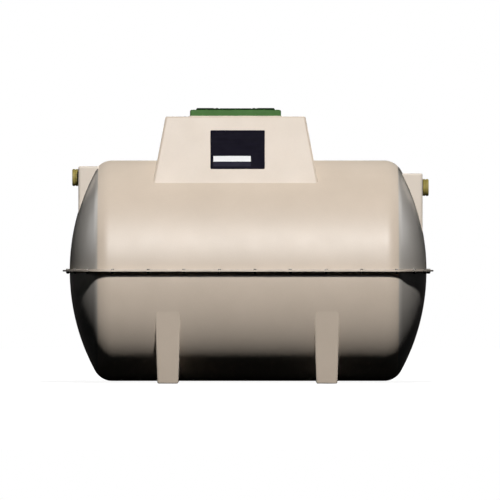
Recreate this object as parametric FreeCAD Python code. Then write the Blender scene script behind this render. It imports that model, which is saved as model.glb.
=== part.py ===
"""Packaged sewage treatment plant: a horizontal two-part glass-fibre tank on moulded cradle feet.

The tank is a cylinder with dished ends, made as an upper and a lower half that meet at a bolted flange.
A drafted access turret with a plastic cover stands on the upper half.
A box on each end carries a drain socket.
Millimetres. X runs along the tank from the inlet to the outlet, Z is up, and the origin is on the ground
under the middle of the tank.
"""

import FreeCAD
import Part

import math
import os

Vec = FreeCAD.Vector

# Tank body
tank_diameter = 1594.0
tank_length = 2581.0
dish_radius = 1520.0
knuckle_radius = 140.0
wall = 7.0
end_joint_turn = 45.0  # degrees of the knuckle that belong to the barrel, the rest to the end

# Bolted flange between the halves
flange_width = 50.0
flange_thickness = 5.0
flange_root_radius = 5.0
flange_root_land = 1.5
flange_edge_radius = 1.5
seal_thickness = 1.5
seal_inset = 0.5

# Cradle feet
ground_gap = 15.0  # from the ground to the underside of the tank
foot_spacing = 1145.0
foot_offset = -5.5  # middle of the two feet from the middle of the tank
foot_base_width = 151.0
foot_side_draft = 1.8
foot_face_lean = 17.0  # degrees from upright
foot_face_sink = 2.5  # how far each leaning face cuts under the barrel's surface
foot_edge_radius = 16.0
foot_base_radius = 12.0

# Access turret
turret_offset = -91.0
turret_top_length = 1009.0
turret_top_depth = 790.0
turret_draft = 10.7
turret_rise = 315.0  # deck above the crown of the tank
turret_corner_radius = 20.0
turret_edge_radius = 14.0
deck_lip = 16.0  # height of the deck moulding's turned-down rim

# Cover and its frame, seated on the turret deck
frame_size = 657.0
frame_height = 49.0
frame_corner_radius = 16.0
frame_edge_radius = 13.0
frame_ledge_height = 20.0
clear_opening = 520.0
clear_corner_radius = 30.0
cover_size = 568.0
cover_corner_radius = 24.0
cover_gap = 3.0
cover_rise = 8.5  # cover plate above the frame
cover_edge_radius = 3.0
tread_height = 5.0
tread_margin = 5.0
tread_gap = 14.0
tread_draft = 12.0
bar_length = 123.0
bar_rows = 15
rib_width = 20.0
rib_pieces = 6
middle_bars = 3  # in every other row, with one fewer between
middle_bar_height = 3.0
grip_length = 96.0
grip_width = 26.0
grip_depth = 18.0

# Inlet and outlet boxes on the ends
box_width = 300.0
inlet_wall_setback = 64.0  # from the tip of the tank's end in to the box's outer face
inlet_box_drop = 42.0  # top of the box below the crown of the tank
outlet_wall_setback = 30.0
outlet_box_drop = 94.0
box_corner_radius = 18.0
box_edge_radius = 12.0
window_height = 205.0
window_margin = 25.0  # from the box ceiling, or the rim of the end, to the window

# Drain sockets
inlet_pipe_drop = 81.0  # pipe axis below the top of its box
outlet_pipe_drop = 101.0
pipe_diameter = 110.0
pipe_wall = 3.2
pipe_clearance = 0.3
pipe_tail = 34.0  # inside the box
socket_reach = 45.0  # from the box to the mouth
socket_diameter = 123.0
socket_length = 39.5
socket_depth = 36.0
socket_waist_diameter = 114.0
socket_waist_width = 12.0
socket_waist_setback = 23.0  # from the mouth
socket_edge_radius = 4.0
socket_lip_diameter = 114.6
socket_lip_length = 3.0
socket_lip_radius = 0.9
seal_ring_width = 8.0
seal_ring_depth = 3.0
seal_ring_setback = 7.0
collar_diameter = 123.0
collar_rim_diameter = 120.0
collar_thickness = 5.0
collar_edge_radius = 1.5

# Places and sizes that follow from the driving dimensions
tank_radius = tank_diameter / 2
half_length = tank_length / 2
axis_height = tank_radius + ground_gap
dish_centre = half_length - dish_radius
knuckle_ring = tank_radius - knuckle_radius
knuckle_place = dish_centre + math.sqrt((dish_radius - knuckle_radius) ** 2 - knuckle_ring**2)
joint_turn = math.radians(end_joint_turn)
joint_place = knuckle_place + knuckle_radius * math.sin(joint_turn)
joint_ring = knuckle_ring + knuckle_radius * math.cos(joint_turn)
inlet_wall_distance = half_length - inlet_wall_setback
outlet_wall_distance = half_length - outlet_wall_setback
upper_start = axis_height + seal_thickness / 2
lower_end = axis_height - seal_thickness / 2
inlet_box_height = tank_radius - inlet_box_drop
outlet_box_height = tank_radius - outlet_box_drop
deck_top = axis_height + tank_radius + turret_rise
turret_slope = math.tan(math.radians(turret_draft))
turret_wall = wall / math.cos(math.radians(turret_draft))
recess_size = cover_size + 2 * cover_gap
reach = 2 * tank_length  # larger than anything in the model
nearness = 0.5  # how close counts as lying at a place


def box(x_range, y_range, z_range):
    """A plain block between the given limits."""
    lengths = [high - low for low, high in (x_range, y_range, z_range)]
    return Part.makeBox(*lengths, Vec(x_range[0], y_range[0], z_range[0]))


def slab(axis, low, high):
    """All the space between two planes across one axis."""
    ranges = [(-reach, reach) for _ in range(3)]
    ranges[axis] = (low, high)
    return box(*ranges)


def arc(start, middle, end):
    """A circular arc through three points."""
    return Part.Arc(start, middle, end).toShape()


def line(start, end):
    """A straight edge."""
    return Part.LineSegment(start, end).toShape()


def polygon_face(points):
    """A flat face with straight edges."""
    return Part.Face(Part.makePolygon(points + points[:1]))


def frustum(low, high):
    """A block with flat, leaning sides between two level rectangles.

    Each rectangle is (centre x, half length, half depth, height).
    """
    corners = []
    for centre, half_x, half_y, height in (low, high):
        corners.append(
            [
                Vec(centre - half_x, -half_y, height),
                Vec(centre + half_x, -half_y, height),
                Vec(centre + half_x, half_y, height),
                Vec(centre - half_x, half_y, height),
            ]
        )
    bottom, top = corners
    faces = [polygon_face(bottom[::-1]), polygon_face(top)]
    for i in range(4):
        j = (i + 1) % 4
        faces.append(polygon_face([bottom[i], bottom[j], top[j], top[i]]))
    return Part.Solid(Part.Shell(faces))


def edges_at(shape, height):
    """The edges that lie level at one height."""
    found = []
    for edge in shape.Edges:
        limits = edge.BoundBox
        if limits.ZMin > height - nearness and limits.ZMax < height + nearness:
            found.append(edge)
    return found


def rising_edges(shape):
    """The edges of a block that run from its bottom to its top."""
    limits = shape.BoundBox
    middle = (limits.ZMin + limits.ZMax) / 2
    return [e for e in shape.Edges if e.BoundBox.ZMin < middle < e.BoundBox.ZMax]


def round_block(shape, corner_radius, edge_radius, edge_height):
    """Rounds a block's rising edges, then the edges around the face at one height."""
    rounded = shape.makeFillet(corner_radius, rising_edges(shape))
    return rounded.makeFillet(edge_radius, edges_at(rounded, edge_height))


def rounded_square(centre, size, radius, low, high):
    """An upright square block with round corners."""
    half = size / 2
    block = box((centre - half, centre + half), (-half, half), (low, high))
    return block.makeFillet(radius, rising_edges(block))


def spun(points, centre, direction):
    """A ring made by turning a closed outline of (distance along the axis, radius) about a level X axis."""
    face = polygon_face([Vec(along, 0, radius) for along, radius in points])
    ring = face.revolve(Vec(0, 0, 0), Vec(1, 0, 0), 360)
    if direction < 0:
        ring.rotate(Vec(0, 0, 0), Vec(0, 0, 1), 180)
    ring.translate(centre)
    return ring


def end_points(inset):
    """The (along, radius) points of the outlet end: apex, mid dish, dish end, mid knuckle, barrel edge."""
    tilt = math.atan2(knuckle_ring, knuckle_place - dish_centre)
    dish = dish_radius - inset
    knuckle = knuckle_radius - inset
    half_tilt = tilt / 2
    middle = (tilt + math.pi / 2) / 2
    return [
        (half_length - inset, 0),
        (dish_centre + dish * math.cos(half_tilt), dish * math.sin(half_tilt)),
        (dish_centre + dish * math.cos(tilt), dish * math.sin(tilt)),
        (knuckle_place + knuckle * math.cos(middle), knuckle_ring + knuckle * math.sin(middle)),
        (knuckle_place, tank_radius - inset),
    ]


def side_edges(inset, place):
    """One side of the tank's outline, from the inlet apex to the outlet apex.

    The place function turns (along, radius) into a point.
    """
    outlet = [place(along, radius) for along, radius in end_points(inset)]
    inlet = [place(-along, radius) for along, radius in end_points(inset)]
    return [
        arc(inlet[0], inlet[1], inlet[2]),
        arc(inlet[2], inlet[3], inlet[4]),
        line(inlet[4], outlet[4]),
        arc(outlet[4], outlet[3], outlet[2]),
        arc(outlet[2], outlet[1], outlet[0]),
    ]


def tank_block(inset):
    """The tank's whole form as a solid, set in from its outside."""
    half = half_length - inset
    edges = side_edges(inset, lambda along, radius: Vec(along, 0, radius))
    edges.append(line(Vec(half, 0, 0), Vec(-half, 0, 0)))
    block = Part.Face(Part.Wire(edges)).revolve(Vec(0, 0, 0), Vec(1, 0, 0), 360)
    block.translate(Vec(0, 0, axis_height))
    return block


def plan_plate(inset, low, high):
    """A plate with the tank's outline in plan, set in from its outside, or out with a negative inset."""
    front = side_edges(inset, lambda along, radius: Vec(along, -radius, low))
    back = side_edges(inset, lambda along, radius: Vec(along, radius, low))
    wire = Part.Wire(Part.sortEdges(front + back)[0])
    return Part.Face(wire).extrude(Vec(0, 0, high - low))


def flange(seat, up):
    """A half's flange: a flat ring with a root radius against the shell, seated on the seal at one height."""
    face = seat + up * flange_thickness
    root_end = face + up * (flange_root_radius + flange_root_land)
    low, high = sorted((seat, root_end))
    plate = plan_plate(-flange_width, *sorted((seat, face)))
    plate = plate.makeFillet(flange_edge_radius, edges_at(plate, face))
    root = plan_plate(-flange_root_land, low, high)
    ring = plate.fuse(root).removeSplitter()
    seam = [e for e in edges_at(ring, face) if e.distToShape(root)[0] < nearness]
    ring = ring.makeFillet(flange_root_radius, seam)
    return ring.cut(plan_plate(0, low - wall, high + wall))


def flange_seal():
    """The sealing strip clamped between the two flanges and the rims of the shells."""
    outer = plan_plate(seal_inset - flange_width, lower_end, upper_start)
    return outer.cut(plan_plate(wall, lower_end - wall, upper_start + wall))


def turret_form(inset, top):
    """The turret's drafted form, set in from its outside, from inside the tank up to the given height."""
    root = axis_height + tank_radius / 2

    def rectangle(height):
        spread = (deck_top - height) * turret_slope - inset
        return (turret_offset, turret_top_length / 2 + spread, turret_top_depth / 2 + spread, height)

    return frustum(rectangle(root), rectangle(top))


def box_form(side, wall_distance, height, inset):
    """An end box's form on one side, set in from its outside, from inside the tank out to its wall."""
    inner_end = knuckle_place - knuckle_radius / 2
    outer_end = wall_distance - inset
    x_range = sorted((side * inner_end, side * outer_end))
    half = box_width / 2 - inset
    top = axis_height + height - inset
    block = box(x_range, (-half, half), (axis_height, top))
    outer_edges = [e for e in rising_edges(block) if abs(e.CenterOfMass.x - side * outer_end) < nearness]
    rounded = block.makeFillet(box_corner_radius - inset, outer_edges)
    rim = [e for e in edges_at(rounded, top) if not across_end(e, side * inner_end)]
    return rounded.makeFillet(box_edge_radius - inset, rim)


def across_end(edge, place):
    """Whether an edge lies in the plane at the given place along the tank."""
    limits = edge.BoundBox
    return abs(limits.XMin - place) < nearness and abs(limits.XMax - place) < nearness


def end_window(side, wall_distance, height):
    """The opening in a tank end that joins it to its box."""
    half = box_width / 2 - wall
    rim = math.sqrt(joint_ring**2 - half**2)
    top = axis_height + min(height - wall, rim) - window_margin
    x_range = sorted((side * knuckle_place, side * (wall_distance - wall)))
    return box(x_range, (-half, half), (top - window_height, top))


def cradle_foot(x_place):
    """A hollow cradle foot with a flat base, drafted sides, and leaning faces that run up into the barrel."""
    lean = math.radians(foot_face_lean)
    top = axis_height - tank_radius * math.sin(lean)
    face_distance = tank_radius - foot_face_sink
    side_slope = math.tan(math.radians(foot_side_draft))

    def form(inset):
        def rectangle(height):
            drop = axis_height - height
            half_y = (face_distance - inset - drop * math.sin(lean)) / math.cos(lean)
            half_x = foot_base_width / 2 + height * side_slope - inset
            return (x_place, half_x, half_y, height)

        block = frustum(rectangle(inset), rectangle(top))
        return block.makeFillet(foot_edge_radius - inset, rising_edges(block))

    outside = form(0)
    outside = outside.makeFillet(foot_base_radius, edges_at(outside, 0))
    return outside.cut(form(wall))


def cover_frame():
    """The square frame on the turret deck, with a ledge inside that carries the cover."""
    low = deck_top
    top = deck_top + frame_height
    body = rounded_square(turret_offset, frame_size, frame_corner_radius, low, top)
    body = body.makeFillet(frame_edge_radius, edges_at(body, top))
    recess_corner = cover_corner_radius + cover_gap
    ledge = low + frame_ledge_height
    recess = rounded_square(turret_offset, recess_size, recess_corner, ledge, top + wall)
    opening = rounded_square(turret_offset, clear_opening, clear_corner_radius, low - wall, top)
    return body.cut(recess).cut(opening)


def tread_bar(x_place, y_place, length, width, base, height):
    """One raised tread bar with drafted sides, centred on a place on the cover."""
    draft = height * math.tan(math.radians(tread_draft))
    sink = 1.0
    bar = frustum(
        (x_place, length / 2, width / 2, base - sink),
        (x_place, length / 2 - draft, width / 2 - draft, base + height),
    )
    bar.translate(Vec(0, y_place, 0))
    return bar


def spaced(count, pitch):
    """Places at one pitch, centred on zero."""
    return [(index - (count - 1) / 2) * pitch for index in range(count)]


def cover_treads(base):
    """Cross bars along two sides of the cover, a rib beside each, and low staggered bars in the middle."""
    half = cover_size / 2 - tread_margin
    row_pitch = 2 * half / bar_rows
    bar_width = row_pitch - tread_gap
    piece_pitch = 2 * half / rib_pieces
    piece_length = piece_pitch - tread_gap
    rib_place = half - bar_length - tread_gap - rib_width / 2
    middle_pitch = (2 * rib_place - rib_width) / middle_bars
    middle_length = middle_pitch - tread_gap
    bars = []
    for side in (-1, 1):
        bar_x = turret_offset + side * (half - bar_length / 2)
        rib_x = turret_offset + side * rib_place
        for y_place in spaced(bar_rows, row_pitch):
            bars.append(tread_bar(bar_x, y_place, bar_length, bar_width, base, tread_height))
        for y_place in spaced(rib_pieces, piece_pitch):
            bars.append(tread_bar(rib_x, y_place, rib_width, piece_length, base, tread_height))
    for row, y_place in enumerate(spaced(bar_rows, row_pitch)):
        for x_place in spaced(middle_bars - row % 2, middle_pitch):
            bar_x = turret_offset + x_place
            bars.append(tread_bar(bar_x, y_place, middle_length, bar_width, base, middle_bar_height))
    return bars


def access_cover():
    """The lift-out cover: a thick plate with a bar tread and two hand grips at its edges."""
    low = deck_top + frame_ledge_height
    top = deck_top + frame_height + cover_rise
    plate = rounded_square(turret_offset, cover_size, cover_corner_radius, low, top)
    plate = plate.makeFillet(cover_edge_radius, edges_at(plate, top))
    cover = plate.fuse(cover_treads(top))
    for side in (-1, 1):
        grip_x = turret_offset + side * (cover_size - grip_width) / 2
        x_range = sorted((grip_x - grip_width / 2, grip_x + grip_width / 2))
        grip = box(x_range, (-grip_length / 2, grip_length / 2), (top - grip_depth, top + 2 * tread_height))
        cover = cover.cut(grip)
    return cover.removeSplitter()


def round_rims(ring, rim_radius, edge_radius):
    """Rounds the circular edges of a ring that have one radius."""
    circles = [e for e in ring.Edges if e.Curve.TypeId == "Part::GeomCircle"]
    rims = [e for e in circles if abs(e.Curve.Radius - rim_radius) < nearness]
    return ring.makeFillet(edge_radius, rims)


def socket_pipe(centre, direction):
    """A pipe stub through a box wall with a waisted ring-seal socket on its outer end."""
    outer = pipe_diameter / 2
    inner = outer - pipe_wall
    bore = outer + pipe_clearance
    body = socket_diameter / 2
    lip = socket_lip_diameter / 2
    mouth = socket_reach
    shoulder = mouth - socket_length
    stop = mouth - socket_depth
    groove_end = mouth - seal_ring_setback
    groove_start = groove_end - seal_ring_width
    groove = bore + seal_ring_depth + pipe_clearance
    waist = socket_waist_diameter / 2
    waist_place = mouth - socket_waist_setback
    waist_half = socket_waist_width / 2
    points = [
        (-wall - pipe_tail, inner),
        (stop, inner),
        (stop, bore),
        (groove_start, bore),
        (groove_start, groove),
        (groove_end, groove),
        (groove_end, bore),
        (mouth, bore),
        (mouth, lip),
        (mouth - socket_lip_length, lip),
        (mouth - socket_lip_length, body),
        (waist_place + waist_half, body),
        (waist_place, waist),
        (waist_place - waist_half, body),
        (shoulder, body),
        (shoulder, outer),
        (-wall - pipe_tail, outer),
    ]
    ring = round_rims(spun(points, centre, direction), body, socket_edge_radius)
    lip_edges = [e for e in ring.Edges if is_mouth_edge(e, centre.x + direction * mouth, lip)]
    return ring.makeFillet(socket_lip_radius, lip_edges)


def is_mouth_edge(edge, place, radius):
    """Whether an edge is the outer circle of a socket's mouth."""
    return across_end(edge, place) and abs(edge.BoundBox.YLength / 2 - radius) < nearness


def seal_ring(centre, direction):
    """The rubber ring in a socket's groove."""
    bore = pipe_diameter / 2 + pipe_clearance
    end = socket_reach - seal_ring_setback - pipe_clearance / 2
    start = end - seal_ring_width + pipe_clearance
    points = [
        (start, bore + pipe_clearance),
        (end, bore + pipe_clearance),
        (end, bore + seal_ring_depth),
        (start, bore + seal_ring_depth),
    ]
    return spun(points, centre, direction)


def wall_collar(centre, direction):
    """The sealing collar around a pipe stub, between the outside of its box and the socket."""
    inner = pipe_diameter / 2 + pipe_clearance
    rim = collar_rim_diameter / 2
    points = [
        (0, inner),
        (collar_thickness, inner),
        (collar_thickness, rim),
        (0, collar_diameter / 2),
    ]
    return round_rims(spun(points, centre, direction), rim, collar_edge_radius)


def pipe_hole(centre):
    """The hole that a pipe stub passes through in its box wall."""
    radius = pipe_diameter / 2 + pipe_clearance
    return Part.makeCylinder(radius, 4 * wall, centre - Vec(2 * wall, 0, 0), Vec(1, 0, 0))


def end_fittings(name, side, wall_distance, box_height, drop):
    """An end box with its pipe stub, seal ring and collar."""
    centre = Vec(side * wall_distance, 0, axis_height + box_height - drop)
    shell = box_form(side, wall_distance, box_height, 0)
    shell = shell.cut(box_form(side, wall_distance, box_height, wall)).cut(tank_outside)
    return {
        name + "_box": shell.cut(pipe_hole(centre)),
        name + "_socket_pipe": socket_pipe(centre, side),
        name + "_seal_ring": seal_ring(centre, side),
        name + "_wall_collar": wall_collar(centre, side),
    }


tank_outside = tank_block(0)
tank_shell = tank_outside.cut(tank_block(wall))
upper_shell = tank_shell.common(slab(2, upper_start, reach))
lower_shell = tank_shell.common(slab(2, -reach, lower_end))
barrel_space = slab(0, -joint_place, joint_place)
inlet_space = slab(0, -reach, -joint_place)
outlet_space = slab(0, joint_place, reach)
turret_inside = round_block(
    turret_form(turret_wall, deck_top - wall),
    turret_corner_radius - wall,
    turret_edge_radius - wall,
    deck_top - wall,
)
turret_outside = round_block(
    turret_form(0, deck_top), turret_corner_radius, turret_edge_radius, deck_top
)
turret_shell = turret_outside.cut(turret_inside).cut(tank_outside)
deck_start = deck_top - deck_lip
deck_opening = rounded_square(
    turret_offset, clear_opening, clear_corner_radius, deck_start - wall, deck_top + wall
)

parts = {
    "upper_barrel": upper_shell.common(barrel_space).cut(turret_inside),
    "lower_barrel": lower_shell.common(barrel_space),
    "inlet_end_upper": upper_shell.common(inlet_space).cut(
        end_window(-1, inlet_wall_distance, inlet_box_height)
    ),
    "inlet_end_lower": lower_shell.common(inlet_space),
    "outlet_end_upper": upper_shell.common(outlet_space).cut(
        end_window(1, outlet_wall_distance, outlet_box_height)
    ),
    "outlet_end_lower": lower_shell.common(outlet_space),
    "upper_flange": flange(upper_start, 1),
    "lower_flange": flange(lower_end, -1),
    "flange_seal": flange_seal(),
    "inlet_cradle_foot": cradle_foot(foot_offset - foot_spacing / 2).cut(tank_outside),
    "outlet_cradle_foot": cradle_foot(foot_offset + foot_spacing / 2).cut(tank_outside),
    "turret_neck": turret_shell.common(slab(2, -reach, deck_start)),
    "turret_deck": turret_shell.common(slab(2, deck_start, reach)).cut(deck_opening),
    "cover_frame": cover_frame(),
    "access_cover": access_cover(),
}
parts.update(end_fittings("inlet", -1, inlet_wall_distance, inlet_box_height, inlet_pipe_drop))
parts.update(end_fittings("outlet", 1, outlet_wall_distance, outlet_box_height, outlet_pipe_drop))

os.makedirs("parts", exist_ok=True)
for name, shape in parts.items():
    solids = shape.Solids
    valid = shape.isValid()
    print(name, "solids", len(solids), "volume", round(shape.Volume), "valid", valid)
    piece = solids[0] if len(solids) == 1 else Part.makeCompound(solids)
    piece.exportStep(os.path.join("parts", name + ".step"))
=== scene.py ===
import math

import bmesh
import bpy
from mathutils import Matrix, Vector


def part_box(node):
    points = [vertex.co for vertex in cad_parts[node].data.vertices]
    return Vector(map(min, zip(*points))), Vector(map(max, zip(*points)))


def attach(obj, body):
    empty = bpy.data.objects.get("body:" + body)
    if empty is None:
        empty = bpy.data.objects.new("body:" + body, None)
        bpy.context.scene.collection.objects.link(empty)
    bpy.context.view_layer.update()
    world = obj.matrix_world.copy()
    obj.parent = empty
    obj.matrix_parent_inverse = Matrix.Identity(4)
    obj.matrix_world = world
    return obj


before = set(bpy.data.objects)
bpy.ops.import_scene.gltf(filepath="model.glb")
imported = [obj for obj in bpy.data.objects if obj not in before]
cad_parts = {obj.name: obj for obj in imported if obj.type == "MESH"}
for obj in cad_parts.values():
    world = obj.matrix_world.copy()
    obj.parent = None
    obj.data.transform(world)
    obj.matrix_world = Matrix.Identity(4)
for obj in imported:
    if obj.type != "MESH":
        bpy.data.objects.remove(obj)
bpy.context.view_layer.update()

# Places and sizes in metres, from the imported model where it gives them
barrel_low, barrel_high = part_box("upper_barrel")
seal_low, seal_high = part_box("flange_seal")
rim_low, rim_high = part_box("cover_frame")
outlet_box_low, outlet_box_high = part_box("outlet_box")

tank_radius = (barrel_high.y - barrel_low.y) / 2
axis_height = (seal_low.z + seal_high.z) / 2
half_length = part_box("outlet_end_upper")[1].x
dish_radius = 1.520
knuckle_radius = 0.140
dish_centre = half_length - dish_radius
knuckle_ring = tank_radius - knuckle_radius
knuckle_place = dish_centre + math.sqrt((dish_radius - knuckle_radius) ** 2 - knuckle_ring**2)
flange_thickness = 0.005
flange_top = seal_high.z + flange_thickness
flange_bottom = seal_low.z - flange_thickness

turret_centre = (rim_low.x + rim_high.x) / 2
turret_top_half = 0.395  # from the middle of the deck to its front edge
turret_lean = math.radians(10.7)
deck_top = rim_low.z
frame_corner_radius = 0.016
cover_rise = 0.0085  # cover plate above the frame

near = 1e-5  # places closer than this are the same
level = 0.99  # a face lies level where its normal rises by more than this


# Modelling by hand

def leave_all():
    """Back to object mode with nothing picked."""
    if bpy.context.mode != "OBJECT":
        bpy.ops.object.mode_set(mode="OBJECT")
    bpy.ops.object.select_all(action="DESELECT")


def pick(*pieces):
    """Picks these pieces alone, the first one active."""
    leave_all()
    for piece in pieces:
        piece.select_set(True)
    bpy.context.view_layer.objects.active = pieces[0]


def name_new(name):
    """Names the piece that was just added."""
    piece = bpy.context.object
    piece.name = name
    piece.data.name = name
    return piece


def set_in_place(piece):
    """Puts a piece's place, turn and scale into its mesh."""
    pick(piece)
    bpy.ops.object.transform_apply(location=True, rotation=True, scale=True)


def add_block(name, size, centre):
    """A block of this size at this place."""
    leave_all()
    bpy.ops.mesh.primitive_cube_add(size=1, location=centre)
    piece = name_new(name)
    piece.scale = size
    set_in_place(piece)
    return piece


def add_round(name, sides, radius, low, high):
    """An upright round or many-sided bar between two heights."""
    leave_all()
    bpy.ops.mesh.primitive_cylinder_add(
        vertices=sides, radius=radius, depth=high - low, location=(0, 0, (low + high) / 2)
    )
    piece = name_new(name)
    set_in_place(piece)
    return piece


def pick_edges(piece, wanted):
    """Opens a piece for editing with the edges that the test accepts picked."""
    pick(piece)
    bpy.ops.object.mode_set(mode="EDIT")
    bpy.ops.mesh.select_mode(type="EDGE")
    bpy.ops.mesh.select_all(action="DESELECT")
    work = bmesh.from_edit_mesh(piece.data)
    for edge in work.edges:
        first, last = edge.verts[0].co, edge.verts[1].co
        if wanted(first, last):
            edge.select_set(True)
    bmesh.update_edit_mesh(piece.data)


def pick_faces(piece, wanted):
    """Opens a piece for editing with the faces that the test accepts picked."""
    pick(piece)
    bpy.ops.object.mode_set(mode="EDIT")
    bpy.ops.mesh.select_mode(type="FACE")
    bpy.ops.mesh.select_all(action="DESELECT")
    work = bmesh.from_edit_mesh(piece.data)
    for face in work.faces:
        if wanted(face.calc_center_median(), face.normal):
            face.select_set(True)
    bmesh.update_edit_mesh(piece.data)


def upright(first, last):
    """Whether an edge stands upright."""
    return abs(first.z - last.z) > near and (first.xy - last.xy).length < near


def level_at(height):
    """A test for edges that lie level at one height."""
    return lambda first, last: abs(first.z - height) < near and abs(last.z - height) < near


def facing_up(centre, normal):
    """Whether a face looks straight up."""
    return normal.z > level


def facing_up_or_down(centre, normal):
    """Whether a face looks straight up or straight down."""
    return abs(normal.z) > level


def bevel_edges(piece, wanted, width, segments):
    """Rounds the edges that the test accepts."""
    pick_edges(piece, wanted)
    bpy.ops.mesh.bevel(offset=width, segments=segments, profile=0.5, affect="EDGES", clamp_overlap=True)
    leave_all()


def join_as(name, *pieces):
    """Joins pieces into one."""
    pick(*pieces)
    bpy.ops.object.join()
    return name_new(name)


def copies_at(piece, name, places):
    """Copies of one piece at many places, joined into one piece. The first piece is used up."""
    made = []
    for place, turn in places:
        pick(piece)
        bpy.ops.object.duplicate()
        copy = bpy.context.object
        copy.location = place
        copy.rotation_euler = (0, 0, turn)
        made.append(copy)
    bpy.data.objects.remove(piece)
    joined = join_as(name, *made)
    set_in_place(joined)
    return joined


def soften(piece, degrees):
    """Smooth shading, with the edges sharper than this angle kept."""
    pick(piece)
    bpy.ops.object.shade_smooth_by_angle(angle=math.radians(degrees))
    leave_all()


def dress(piece, finish):
    """Gives a piece one finish."""
    piece.data.materials.clear()
    piece.data.materials.append(finish)


def settle(piece, finish):
    """A finished piece rides on the tank with its finish."""
    dress(piece, finish)
    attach(piece, "root")


# Patterns that the finishes are made of

def new_finish(name):
    """A finish with its shader, and the place on the object that its patterns read."""
    finish = bpy.data.materials.new(name)
    finish.use_nodes = True
    tree = finish.node_tree
    shader = tree.nodes["Principled BSDF"]
    place = tree.nodes.new("ShaderNodeTexCoord").outputs["Object"]
    return finish, tree, shader, place


def noise(tree, place, scale, detail, rough=0.5, stretch=None):
    """Soft patches of a given fineness, as a value around one half."""
    if stretch:
        mapping = tree.nodes.new("ShaderNodeMapping")
        mapping.inputs["Scale"].default_value = stretch
        tree.links.new(place, mapping.inputs["Vector"])
        place = mapping.outputs["Vector"]
    node = tree.nodes.new("ShaderNodeTexNoise")
    node.inputs["Scale"].default_value = scale
    node.inputs["Detail"].default_value = detail
    node.inputs["Roughness"].default_value = rough
    tree.links.new(place, node.inputs["Vector"])
    return node.outputs["Fac"]


def spread(tree, value, low, high, start=0.3, end=0.7):
    """Turns a pattern's value, from its start to its end, into a range of values."""
    node = tree.nodes.new("ShaderNodeMapRange")
    node.inputs["From Min"].default_value = start
    node.inputs["From Max"].default_value = end
    node.inputs["To Min"].default_value = low
    node.inputs["To Max"].default_value = high
    tree.links.new(value, node.inputs["Value"])
    return node.outputs["Result"]


def tint(tree, value, first, last, start=0.3, end=0.7):
    """Turns a pattern's value, from its start to its end, into a run of colour."""
    node = tree.nodes.new("ShaderNodeValToRGB")
    node.color_ramp.elements[0].position = start
    node.color_ramp.elements[0].color = (*first, 1)
    node.color_ramp.elements[1].position = end
    node.color_ramp.elements[1].color = (*last, 1)
    tree.links.new(value, node.inputs["Fac"])
    return node.outputs["Color"]


def reckon(tree, operation, first, second=None):
    """Works out one value from a pattern, or from a pattern and a second one or a number."""
    node = tree.nodes.new("ShaderNodeMath")
    node.operation = operation
    tree.links.new(first, node.inputs[0])
    if isinstance(second, float):
        node.inputs[1].default_value = second
    elif second is not None:
        tree.links.new(second, node.inputs[1])
    return node.outputs["Value"]


def along_axes(tree, direction):
    """A place or a direction, as its three values along X, Y and Z."""
    node = tree.nodes.new("ShaderNodeSeparateXYZ")
    tree.links.new(direction, node.inputs["Vector"])
    return node.outputs


def mix_colour(tree, first, second, share, how="MIX"):
    """Lays one colour over another by a share, which is a number or a pattern."""
    node = tree.nodes.new("ShaderNodeMix")
    node.data_type = "RGBA"
    node.blend_type = how
    sockets = {s.identifier: s for s in node.inputs}
    if isinstance(share, float):
        sockets["Factor_Float"].default_value = share
    else:
        tree.links.new(share, sockets["Factor_Float"])
    for value, key in ((first, "A_Color"), (second, "B_Color")):
        if isinstance(value, tuple):
            sockets[key].default_value = (*value, 1)
        else:
            tree.links.new(value, sockets[key])
    return {s.identifier: s for s in node.outputs}["Result_Color"]


def relief(tree, value, distance, strength, below=None):
    """A small relief of the surface from a pattern, laid on the relief below it."""
    node = tree.nodes.new("ShaderNodeBump")
    node.inputs["Strength"].default_value = strength
    node.inputs["Distance"].default_value = distance
    tree.links.new(value, node.inputs["Height"])
    if below is not None:
        tree.links.new(below, node.inputs["Normal"])
    return node.outputs["Normal"]


# Finishes

gelcoat_refraction = 1.56
gelcoat_unevenness = 0.025  # of its roughness, up and down
# Painted shade in the corners where the boxes stand out of the ends, darkening the gelcoat there.
painted_shade_width = 0.15  # painted shade on the ends, out from the boxes
painted_shade_colour = (0.085, 0.075, 0.058)
painted_shade_cover = 0.9  # most of the gelcoat's colour that the painted shade hides
paint_gloss = 0.06


def pigment_clouds(tree, place, pale, deep):
    """The faint clouds that sprayed pigment settles in."""
    return tint(tree, noise(tree, place, scale=2.6, detail=4.0, rough=0.6), deep, pale)


def gelcoat(name, pale, deep, rough=0.50, chalk=0.65):
    """Sprayed gelcoat: clouds and specks in the pigment, orange peel and soft waves of the mould."""
    finish, tree, shader, place = new_finish(name)
    specks = spread(tree, noise(tree, place, scale=160.0, detail=2.0), low=0.965, high=1.0)
    grey = tree.nodes.new("ShaderNodeCombineColor")
    for channel in ("Red", "Green", "Blue"):
        tree.links.new(specks, grey.inputs[channel])
    clouds = pigment_clouds(tree, place, pale, deep)
    colour = mix_colour(tree, clouds, grey.outputs["Color"], 1.0, "MULTIPLY")
    tree.links.new(colour, shader.inputs["Base Color"])
    patches = noise(tree, place, scale=9.0, detail=3.0)
    dulling = spread(tree, patches, rough - gelcoat_unevenness, rough + gelcoat_unevenness)
    tree.links.new(dulling, shader.inputs["Roughness"])
    waves = relief(tree, noise(tree, place, scale=5.0, detail=2.0), distance=0.004, strength=0.018)
    peel_grain = noise(tree, place, scale=260.0, detail=2.0)
    peel = relief(tree, peel_grain, distance=0.0006, strength=0.22, below=waves)
    tree.links.new(peel, shader.inputs["Normal"])
    shader.inputs["IOR"].default_value = gelcoat_refraction
    shader.inputs["Diffuse Roughness"].default_value = chalk
    return finish


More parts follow.
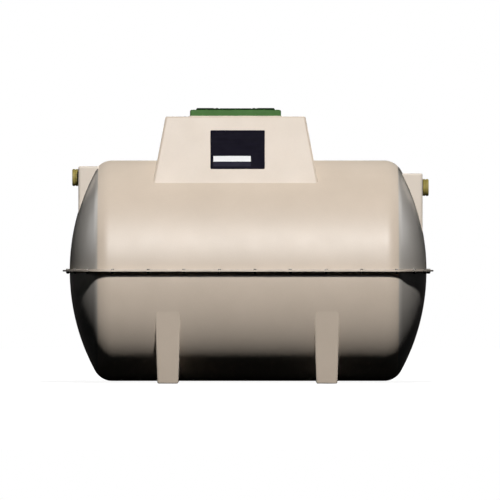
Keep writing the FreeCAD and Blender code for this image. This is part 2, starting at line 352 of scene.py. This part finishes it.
def flange_painted_shade():
    """The flange's gelcoat, with its top and bottom faces painted darker than the moulded gelcoat round
    its outer edge: painted shade that keeps them from lighting the barrel next to them.
    """
    # The darker colour here is painted shade for the faces that look up or down.
    finish = gelcoat("flange_painted_shade", (0.30, 0.262, 0.218), (0.27, 0.236, 0.196), chalk=0.0)
    tree = finish.node_tree
    shader = tree.nodes["Principled BSDF"]
    facing = along_axes(tree, tree.nodes.new("ShaderNodeNewGeometry").outputs["True Normal"])
    flat = spread(tree, reckon(tree, "ABSOLUTE", facing["Z"]), 0.0, 1.0, start=0.25, end=0.6)
    place = tree.nodes.new("ShaderNodeTexCoord").outputs["Object"]
    edge = pigment_clouds(tree, place, (0.735, 0.630, 0.520), (0.690, 0.592, 0.487))
    shaded_faces = shader.inputs["Base Color"].links[0].from_socket
    tree.links.new(mix_colour(tree, edge, shaded_faces, flat), shader.inputs["Base Color"])
    return finish


def end_painted_shade():
    """The ends' gelcoat, painted greyer and darker than the barrel's as painted shade, with more painted
    shade and a duller gloss in the corners where the boxes stand out of it.
    """
    # Painted shade: the ends' colour is greyer and darker than the barrel's gelcoat, for the ends that
    # face away from the front light.
    finish = gelcoat("end_gelcoat_painted_shade", (0.640, 0.598, 0.542), (0.602, 0.562, 0.510), rough=0.30, chalk=0.0)
    tree = finish.node_tree
    shader = tree.nodes["Principled BSDF"]
    place = along_axes(tree, tree.nodes.new("ShaderNodeTexCoord").outputs["Object"])
    side = outlet_box_high.y
    bottom = outlet_box_low.z
    sideways = reckon(tree, "ABSOLUTE", place["Y"])
    # Painted shade round each box, fading out beside it and below it.
    beside = spread(tree, sideways, 1.0, 0.0, start=side, end=side + painted_shade_width)
    above = spread(tree, place["Z"], 0.0, 1.0, start=bottom - painted_shade_width, end=bottom)
    corner_shade = reckon(tree, "MULTIPLY", beside, above)
    unshaded = shader.inputs["Base Color"].links[0].from_socket
    share = reckon(tree, "MULTIPLY", corner_shade, painted_shade_cover)
    tree.links.new(mix_colour(tree, unshaded, painted_shade_colour, share), shader.inputs["Base Color"])
    glossy = shader.inputs["Roughness"].links[0].from_socket
    tree.links.new(reckon(tree, "MAXIMUM", glossy, corner_shade), shader.inputs["Roughness"])
    return finish


def moulded_plastic(name, pale, deep, rough, gloss, grain=420.0):
    """Moulded plastic with a fine spark-eroded grain and slightly scuffed gloss."""
    finish, tree, shader, place = new_finish(name)
    swirls = noise(tree, place, scale=14.0, detail=5.0, rough=0.6)
    tree.links.new(tint(tree, swirls, deep, pale), shader.inputs["Base Color"])
    scuffs = noise(tree, place, scale=30.0, detail=4.0, rough=0.6)
    tree.links.new(spread(tree, scuffs, rough - 0.05, rough + 0.07), shader.inputs["Roughness"])
    sparks = noise(tree, place, scale=grain, detail=2.0)
    tree.links.new(relief(tree, sparks, distance=0.0004, strength=0.25), shader.inputs["Normal"])
    shader.inputs["Specular IOR Level"].default_value = gloss
    return finish


def black_rubber():
    """Black seal rubber with a dusty bloom."""
    finish, tree, shader, place = new_finish("black_rubber")
    bloom = noise(tree, place, scale=40.0, detail=4.0, rough=0.6)
    dusty = tint(tree, bloom, (0.012, 0.012, 0.012), (0.022, 0.021, 0.020))
    tree.links.new(dusty, shader.inputs["Base Color"])
    tree.links.new(spread(tree, bloom, low=0.62, high=0.78), shader.inputs["Roughness"])
    skin = noise(tree, place, scale=500.0, detail=2.0)
    tree.links.new(relief(tree, skin, distance=0.0003, strength=0.3), shader.inputs["Normal"])
    return finish


def cream_sealant():
    """Tooled sealant: a matt cream with a faintly uneven skin."""
    finish, tree, shader, place = new_finish("cream_sealant")
    smears = noise(tree, place, scale=18.0, detail=4.0, rough=0.6)
    cream = tint(tree, smears, (0.66, 0.585, 0.470), (0.72, 0.640, 0.525))
    tree.links.new(cream, shader.inputs["Base Color"])
    tree.links.new(spread(tree, smears, low=0.62, high=0.74), shader.inputs["Roughness"])
    skin = noise(tree, place, scale=60.0, detail=3.0)
    tree.links.new(relief(tree, skin, distance=0.0008, strength=0.2), shader.inputs["Normal"])
    return finish


def weathered_zinc():
    """Zinc on steel fasteners, dulled in patches."""
    finish, tree, shader, place = new_finish("zinc_plated_steel")
    dulling = noise(tree, place, scale=120.0, detail=4.0, rough=0.6)
    zinc_tones = tint(tree, dulling, (0.155, 0.145, 0.130), (0.270, 0.255, 0.230))
    tree.links.new(zinc_tones, shader.inputs["Base Color"])
    tree.links.new(spread(tree, dulling, low=0.62, high=0.48), shader.inputs["Roughness"])
    grains = noise(tree, place, scale=900.0, detail=2.0)
    tree.links.new(relief(tree, grains, distance=0.0002, strength=0.2), shader.inputs["Normal"])
    shader.inputs["Metallic"].default_value = 1.0
    return finish


def painted_plate(name, pale, deep, rough):
    """Paint on thin aluminium, faintly rolled."""
    finish, tree, shader, place = new_finish(name)
    rolled = noise(tree, place, scale=60.0, detail=3.0, stretch=(0.15, 1.0, 1.0))
    tree.links.new(tint(tree, rolled, deep, pale), shader.inputs["Base Color"])
    wear = noise(tree, place, scale=25.0, detail=3.0)
    tree.links.new(spread(tree, wear, rough - 0.05, rough + 0.06), shader.inputs["Roughness"])
    skin = noise(tree, place, scale=350.0, detail=2.0)
    tree.links.new(relief(tree, skin, distance=0.0002, strength=0.2), shader.inputs["Normal"])
    shader.inputs["Specular IOR Level"].default_value = paint_gloss
    return finish


beige_gelcoat = gelcoat("beige_gelcoat", (0.715, 0.611, 0.503), (0.672, 0.573, 0.468))
box_gelcoat = gelcoat("box_gelcoat", (0.750, 0.667, 0.572), (0.705, 0.625, 0.533))
end_gelcoat_painted_shade = end_painted_shade()
flange_gelcoat = flange_painted_shade()
frame_green = moulded_plastic(
    "frame_green", (0.062, 0.167, 0.040), (0.052, 0.143, 0.032), rough=0.58, gloss=0.12
)
cover_green = moulded_plastic(
    "cover_green", (0.005, 0.019, 0.004), (0.003, 0.012, 0.002), rough=0.70, gloss=0.03
)
pipe_ochre = moulded_plastic(
    "pipe_ochre", (0.345, 0.284, 0.080), (0.292, 0.236, 0.062), rough=0.55, gloss=0.2, grain=700.0
)
# Painted shade: the wall collars are coloured dark brown where the sockets meet the boxes.
collar_painted_shade = moulded_plastic(
    "collar_painted_shade", (0.105, 0.080, 0.042), (0.085, 0.064, 0.033), rough=0.60, gloss=0.2, grain=700.0
)
rubber = black_rubber()
sealant = cream_sealant()
zinc = weathered_zinc()
navy_paint = painted_plate("navy_paint", (0.0060, 0.0048, 0.0125), (0.0042, 0.0034, 0.0090), rough=0.80)
slate_paint = painted_plate("slate_paint", (0.026, 0.024, 0.041), (0.020, 0.019, 0.033), rough=0.80)
white_paint = painted_plate("white_paint", (0.93, 0.93, 0.93), (0.89, 0.89, 0.89), rough=0.55)

for node, finish in {
    "upper_barrel": beige_gelcoat,
    "lower_barrel": beige_gelcoat,
    "inlet_end_upper": end_gelcoat_painted_shade,
    "inlet_end_lower": end_gelcoat_painted_shade,
    "outlet_end_upper": end_gelcoat_painted_shade,
    "outlet_end_lower": end_gelcoat_painted_shade,
    "upper_flange": flange_gelcoat,
    "lower_flange": flange_gelcoat,
    "flange_seal": sealant,
    "inlet_cradle_foot": beige_gelcoat,
    "outlet_cradle_foot": beige_gelcoat,
    "turret_neck": beige_gelcoat,
    "turret_deck": beige_gelcoat,
    "cover_frame": frame_green,
    "access_cover": cover_green,
    "inlet_box": box_gelcoat,
    "outlet_box": box_gelcoat,
    "inlet_socket_pipe": pipe_ochre,
    "outlet_socket_pipe": pipe_ochre,
    "inlet_wall_collar": collar_painted_shade,
    "outlet_wall_collar": collar_painted_shade,
    "inlet_seal_ring": rubber,
    "outlet_seal_ring": rubber,
}.items():
    dress(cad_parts[node], finish)


# Flange bolts

bolt_line = 0.0185  # bolt centres out from the tank wall
bolt_count = 30
first_bolt = 0.0495  # along the front from the middle of the tank
bolt_twist = 0.7  # radians that each bolt is turned past the one before
bolt_radius = 0.006
bolt_head_width = 0.019
bolt_head_height = 0.0066
bolt_chamfer = 0.0011
bolt_end_length = 0.004  # below the nut
nut_height = 0.0100
thread_tip = 0.001
thread_grooves = 3
thread_narrowing = 0.86
washer_radius = 0.0120
washer_thickness = 0.0022
washer_softness = 0.0004


def hex_piece(name, low, high, chamfered):
    """A six-sided head or nut with its corners turned off at the given heights."""
    piece = add_round(name, 6, bolt_head_width / math.sqrt(3), low, high)
    for height in chamfered:
        bevel_edges(piece, level_at(height), bolt_chamfer, 2)
    return piece


def washer(name, low, high):
    """A flat washer with softened rims."""
    piece = add_round(name, 20, washer_radius, low, high)
    for height in (low, high):
        bevel_edges(piece, level_at(height), washer_softness, 1)
    return piece


def thread_end(name, low, high):
    """The end of the bolt under its nut, with a few turned grooves."""
    piece = add_round(name, 12, bolt_radius, high - thread_tip, high)
    half_pitch = (high - low - thread_tip) / thread_grooves / 2
    for _ in range(thread_grooves):
        for narrowing in (thread_narrowing, 1 / thread_narrowing):
            bottom = min(v.co.z for v in piece.data.vertices)
            pick_faces(piece, lambda centre, normal: normal.z < -0.9 and centre.z < bottom + near)
            bpy.ops.mesh.extrude_region_move(TRANSFORM_OT_translate={"value": (0, 0, -half_pitch)})
            bpy.ops.transform.resize(value=(narrowing, narrowing, 1))
            leave_all()
    return piece


dish_tilt = math.asin(knuckle_ring / (dish_radius - knuckle_radius))  # half angle of the dish
knuckle_line = knuckle_radius + bolt_line
dish_line = dish_radius + bolt_line
straight_run = knuckle_place
knuckle_run = knuckle_line * (math.pi / 2 - dish_tilt)
dish_run = dish_line * dish_tilt
quarter_run = straight_run + knuckle_run + dish_run


def quarter_point(run):
    """The point at this run along the bolt line, from the middle of the front to the outlet's tip."""
    if run < straight_run:
        return run, -(tank_radius + bolt_line)
    if run < straight_run + knuckle_run:
        turn = (run - straight_run) / knuckle_line
        return (
            knuckle_place + knuckle_line * math.sin(turn),
            -(knuckle_ring + knuckle_line * math.cos(turn)),
        )
    turn = dish_tilt - (run - straight_run - knuckle_run) / dish_line
    return dish_centre + dish_line * math.cos(turn), -dish_line * math.sin(turn)


def bolt_places():
    """The places of the bolts round the whole flange, evenly spaced."""
    whole_run = 4 * quarter_run
    places = []
    for step in range(bolt_count):
        run = (first_bolt + step * whole_run / bolt_count) % whole_run
        quarter, rest = divmod(run, quarter_run)
        x, y = quarter_point(rest if quarter in (0, 2) else quarter_run - rest)
        side = 1 if quarter in (0, 1) else -1
        front = 1 if quarter in (0, 3) else -1
        places.append(((side * x, front * y, 0), bolt_twist * step))
    return places


def flange_bolts():
    """Hexagon bolts, washers and nuts round the flange, with the bolt ends showing under the nuts."""
    head_low = flange_top + washer_thickness
    head_high = head_low + bolt_head_height
    nut_high = flange_bottom - washer_thickness
    nut_low = nut_high - nut_height
    bolt = join_as(
        "bolt",
        hex_piece("bolt_head", head_low, head_high, (head_high,)),
        hex_piece("bolt_nut", nut_low, nut_high, (nut_low, nut_high)),
        thread_end("bolt_end", nut_low - bolt_end_length, nut_low),
        washer("upper_washer", flange_top, head_low),
        washer("lower_washer", nut_high, flange_bottom),
    )
    bolts = copies_at(bolt, "flange_bolts", bolt_places())
    soften(bolts, 30)
    settle(bolts, zinc)


flange_bolts()


# Cover and frame fastenings, and the sealant round the frame's foot

cover_plate_top = rim_high.z + cover_rise
cover_screw_radius = 0.0058
cover_screw_height = 0.0036
cover_screw_x = 0.149  # from the middle of the cover, in the gap between its cross bars and ribs
cover_screw_y = 0.262
frame_screw_radius = 0.0070
frame_screw_height = 0.0022
frame_screw_line = 0.301
frame_screw_spots = (-0.205, 0.0, 0.205)
screw_rim = 0.001  # most that a screw head's rim is rounded
screw_rim_share = 0.3  # of the head's height
drive_inset = 0.42  # of the head's radius
drive_depth = 0.7  # of the head's height
drive_slope = 0.0003
bead_width = 0.006
bead_height = 0.0055
bead_rounding = 0.75  # of the bead's height
bead_wall = 0.2  # of the bead's width


def cap_screw(name, radius, height, low):
    """A round screw head with a soft rim and a drive socket."""
    piece = add_round(name, 18, radius, low, low + height)
    bevel_edges(piece, level_at(low + height), min(screw_rim_share * height, screw_rim), 2)
    pick_faces(piece, facing_up)
    bpy.ops.mesh.inset(thickness=drive_inset * radius, depth=0)
    bpy.ops.mesh.inset(thickness=drive_slope, depth=-drive_depth * height)
    leave_all()
    return piece


def cover_screws():
    """The screws that hold the cover down."""
    screw = cap_screw("cover_screw", cover_screw_radius, cover_screw_height, cover_plate_top)
    places = []
    for x in (-cover_screw_x, cover_screw_x):
        for y in (-cover_screw_y, cover_screw_y):
            places.append(((turret_centre + x, y, 0), 0))
    screws = copies_at(screw, "cover_screws", places)
    soften(screws, 35)
    settle(screws, zinc)


def frame_screws():
    """The screws that hold the cover's frame to the deck."""
    screw = cap_screw("frame_screw", frame_screw_radius, frame_screw_height, rim_high.z)
    places = []
    for along in frame_screw_spots:
        for across in (-frame_screw_line, frame_screw_line):
            places.append(((turret_centre + along, across, 0), 0))
            places.append(((turret_centre + across, along, 0), 0))
    screws = copies_at(screw, "frame_screws", places)
    soften(screws, 35)
    settle(screws, frame_green)


def frame_bead():
    """A tooled bead of sealant where the cover frame stands on the deck."""
    size = rim_high.x - rim_low.x + 2 * bead_width
    top = deck_top + bead_height
    middle = (turret_centre, 0, deck_top + bead_height / 2)
    bead = add_block("frame_bead", (size, size, bead_height), middle)
    bevel_edges(bead, upright, frame_corner_radius + bead_width, 8)
    bevel_edges(bead, level_at(top), bead_rounding * bead_height, 4)
    pick_faces(bead, facing_up_or_down)
    bpy.ops.mesh.inset(thickness=bead_wall * bead_width, use_individual=True)
    bpy.ops.mesh.bridge_edge_loops()
    leave_all()
    soften(bead, 40)
    settle(bead, sealant)


cover_screws()
frame_screws()
frame_bead()


# The bare plate on the turret

plate_centre_x = -0.0757
plate_centre_z = 1.685
plate_width = 0.392
plate_height = 0.284
plate_thickness = 0.0025
plate_corner = 0.007
plate_edge = 0.0006
plate_rim = 0.004
plate_sink = 0.0008  # of the plate's face inside its rim
panel_width = 0.270
panel_x = -0.040  # from the plate's middle, as the heights below
white_panel_y = -0.0675
white_panel_height = 0.0412
slate_field_y = -0.1080
slate_field_height = 0.0310
panel_thickness = 0.0006
panel_corner = 0.0015
panel_edge = 0.0002
rivet_radius = 0.0045
rivet_height = 0.002
rivet_rounding = 0.0014
rivet_inset = 0.016  # from the plate's edges

plate_face = plate_thickness - plate_sink


def hang_on_turret(piece):
    """Turns a piece that lies flat, facing up, on to the turret's front face at the plate's middle."""
    front = turret_top_half + (deck_top - plate_centre_z) * math.tan(turret_lean)
    piece.rotation_euler = (math.pi / 2 - turret_lean, 0, 0)
    piece.location = (plate_centre_x, -front, plate_centre_z)
    set_in_place(piece)


def turret_plate():
    """A bare painted plate with a raised rim."""
    plate = add_block("plate", (plate_width, plate_height, plate_thickness), (0, 0, plate_thickness / 2))
    bevel_edges(plate, upright, plate_corner, 4)
    bevel_edges(plate, level_at(plate_thickness), plate_edge, 2)
    pick_faces(plate, facing_up)
    bpy.ops.mesh.inset(thickness=plate_rim, depth=0)
    bpy.ops.mesh.inset(thickness=plate_sink, depth=-plate_sink)
    hang_on_turret(plate)
    soften(plate, 30)
    settle(plate, navy_paint)


def plate_panel(name, y, height, finish):
    """A blank panel on the plate's face, this far up the plate from its middle."""
    middle = (panel_x, y, plate_face + panel_thickness / 2)
    panel = add_block(name, (panel_width, height, panel_thickness), middle)
    bevel_edges(panel, upright, panel_corner, 3)
    bevel_edges(panel, level_at(plate_face + panel_thickness), panel_edge, 1)
    hang_on_turret(panel)
    soften(panel, 30)
    settle(panel, finish)


def plate_rivets():
    """A rivet at each corner of the plate."""
    rivet = add_round("rivet", 16, rivet_radius, plate_face, plate_face + rivet_height)
    bevel_edges(rivet, level_at(plate_face + rivet_height), rivet_rounding, 3)
    half_x = plate_width / 2 - rivet_inset
    half_y = plate_height / 2 - rivet_inset
    places = [((x, y, 0), 0) for x in (-half_x, half_x) for y in (-half_y, half_y)]
    rivets = copies_at(rivet, "plate_rivets", places)
    hang_on_turret(rivets)
    soften(rivets, 40)
    settle(rivets, navy_paint)


turret_plate()
plate_panel("plate_panel", white_panel_y, white_panel_height, white_paint)
plate_panel("plate_field", slate_field_y, slate_field_height, slate_paint)
plate_rivets()


# Camera, as far off as the photo's flat view asks

photo_width = 3.616  # metres across the photo at the tank's axis
sensor_width = 36.0
camera_lens = 1200.0
camera_distance = photo_width * camera_lens / sensor_width
camera_x = 0.0137
camera_rise = 0.1499  # above the tank's axis
camera_reach = 300.0

leave_all()
bpy.ops.object.camera_add(
    location=(camera_x, -camera_distance, axis_height + camera_rise), rotation=(math.pi / 2, 0, 0)
)
camera = bpy.context.object
camera.name = "camera"
camera.data.lens = camera_lens
camera.data.sensor_width = sensor_width
camera.data.clip_end = camera_reach
bpy.context.scene.camera = camera


# Lamps

lamp_target = Vector((0, -0.7, 0.9))
lamp_distance = 14.0
full = math.pi  # lights a square-on white surface to full white


def bearing(azimuth, elevation):
    """The direction of this azimuth, 0 at the front and 90 at the outlet, and this elevation."""
    turn = math.radians(azimuth)
    rise = math.radians(elevation)
    reach = math.cos(rise)
    return Vector((math.sin(turn) * reach, -math.cos(turn) * reach, math.sin(rise)))


def add_lamp(kind, name, azimuth, elevation):
    """A lamp on this bearing, turned towards the tank."""
    leave_all()
    towards = bearing(azimuth, elevation)
    turn = towards.to_track_quat("Z", "Y").to_euler()
    bpy.ops.object.light_add(type=kind, location=lamp_target + lamp_distance * towards, rotation=turn)
    lamp = bpy.context.object
    lamp.name = name
    return lamp


def add_far_lamp(name, azimuth, elevation, strength, softness):
    """A far lamp that only lights, with no shine of its own."""
    lamp = add_lamp("SUN", name, azimuth, elevation)
    lamp.data.energy = strength
    lamp.data.angle = math.radians(softness)
    lamp.visible_glossy = False


def add_soft_box(name, azimuth, elevation, strength, width, shines):
    """A round soft lamp, as strong near as far, that either shines in the gloss or lights the colour."""
    lamp = add_lamp("AREA", name, azimuth, elevation)
    lamp.data.shape = "DISK"
    lamp.data.size = width
    lamp.data.energy = math.pi * strength  # lights as a far lamp of this strength does
    lamp.data.use_nodes = True
    tree = lamp.data.node_tree
    even = tree.nodes.new("ShaderNodeLightFalloff")
    even.inputs["Strength"].default_value = 1.0
    tree.links.new(even.outputs["Constant"], tree.nodes["Emission"].inputs["Strength"])
    lamp.visible_camera = False
    lamp.visible_glossy = shines
    lamp.visible_diffuse = not shines


add_soft_box("key_lamp", 4, 37, 1.04 * full, width=0.7, shines=False)
add_soft_box("shine_lamp_inlet", -18, 31, 1.14 * full, width=2.0, shines=True)
add_soft_box("shine_lamp_outlet", 18, 31, 1.18 * full, width=2.0, shines=True)
add_soft_box("side_shine_inlet", -121, 17, 0.135 * full, width=6.0, shines=True)
add_soft_box("side_shine_outlet", 121, 17, 0.135 * full, width=6.0, shines=True)
add_far_lamp("side_lamp_inlet", -165, 6, 0.12 * full, softness=12)
add_far_lamp("side_lamp_outlet", 165, 6, 0.12 * full, softness=12)
add_far_lamp("back_lamp", 180, 5, 0.60 * full, softness=12)


# Floor and air

floor_size = 80
floor_grey = 0.36  # of the floor that the camera sees, for its shadow
floor_bounce = 0.005  # of the floor that lights the tank from below
floor_glow_near = 0.90
floor_glow_far = 1.0
glow_start = 2.0  # metres from the middle of the tank
glow_end = 5.0
floor_in_mirrors = 0.002  # how much of the white floor a gloss shows
air_in_mirrors = 0.01  # how much of the white air a gloss shows
fill_light = 0.0005  # from the air, all round the tank


def seen_directly(tree, mirror_share):
    """One for what the camera sees, also through glass, and a share of it for what a mirror shows."""
    path = tree.nodes.new("ShaderNodeLightPath").outputs
    seen = reckon(tree, "MULTIPLY", path["Is Glossy Ray"], mirror_share)
    for ray in ("Is Camera Ray", "Is Transmission Ray"):
        seen = reckon(tree, "MAXIMUM", seen, path[ray])
    return seen


def grey_matt(tree, grey):
    """A plain matt grey."""
    node = tree.nodes.new("ShaderNodeBsdfDiffuse")
    node.inputs["Color"].default_value = (grey, grey, grey, 1)
    return node.outputs["BSDF"]


def white_light(tree, strength):
    """White from all round, for the air."""
    node = tree.nodes.new("ShaderNodeBackground")
    node.inputs["Color"].default_value = (1, 1, 1, 1)
    node.inputs["Strength"].default_value = strength
    return node.outputs["Background"]


def mix_by_sight(tree, unseen, seen, mirror_share):
    """Shows one surface or light to the camera and leaves the other to the rest of the light."""
    node = tree.nodes.new("ShaderNodeMixShader")
    tree.links.new(seen_directly(tree, mirror_share), node.inputs["Fac"])
    tree.links.new(unseen, node.inputs[1])
    tree.links.new(seen, node.inputs[2])
    return node.outputs["Shader"]


def white_floor():
    """A plain white floor that keeps a faint shadow round the tank and glows evenly farther out."""
    finish, tree, shader, place = new_finish("white_floor")
    tree.nodes.remove(shader)
    distance = tree.nodes.new("ShaderNodeVectorMath")
    distance.operation = "LENGTH"
    tree.links.new(place, distance.inputs[0])
    glow = tree.nodes.new("ShaderNodeEmission")
    strength = spread(
        tree, distance.outputs["Value"], floor_glow_near, floor_glow_far, start=glow_start, end=glow_end
    )
    tree.links.new(strength, glow.inputs["Strength"])
    seen = tree.nodes.new("ShaderNodeAddShader")
    tree.links.new(grey_matt(tree, floor_grey), seen.inputs[0])
    tree.links.new(glow.outputs["Emission"], seen.inputs[1])
    surface = mix_by_sight(tree, grey_matt(tree, floor_bounce), seen.outputs["Shader"], floor_in_mirrors)
    tree.links.new(surface, tree.nodes["Material Output"].inputs["Surface"])
    return finish


def studio_air():
    """White air for the camera, and hardly any light from it on the tank."""
    air = bpy.data.worlds.new("studio_air")
    air.use_nodes = True
    tree = air.node_tree
    tree.nodes.clear()
    surface = mix_by_sight(tree, white_light(tree, fill_light), white_light(tree, 1.0), air_in_mirrors)
    output = tree.nodes.new("ShaderNodeOutputWorld")
    tree.links.new(surface, output.inputs["Surface"])
    return air


leave_all()
bpy.ops.mesh.primitive_plane_add(size=floor_size, location=(0, 0, 0))
floor = name_new("floor")
dress(floor, white_floor())

bpy.context.scene.world = studio_air()
bpy.context.scene.view_settings.view_transform = "Standard"
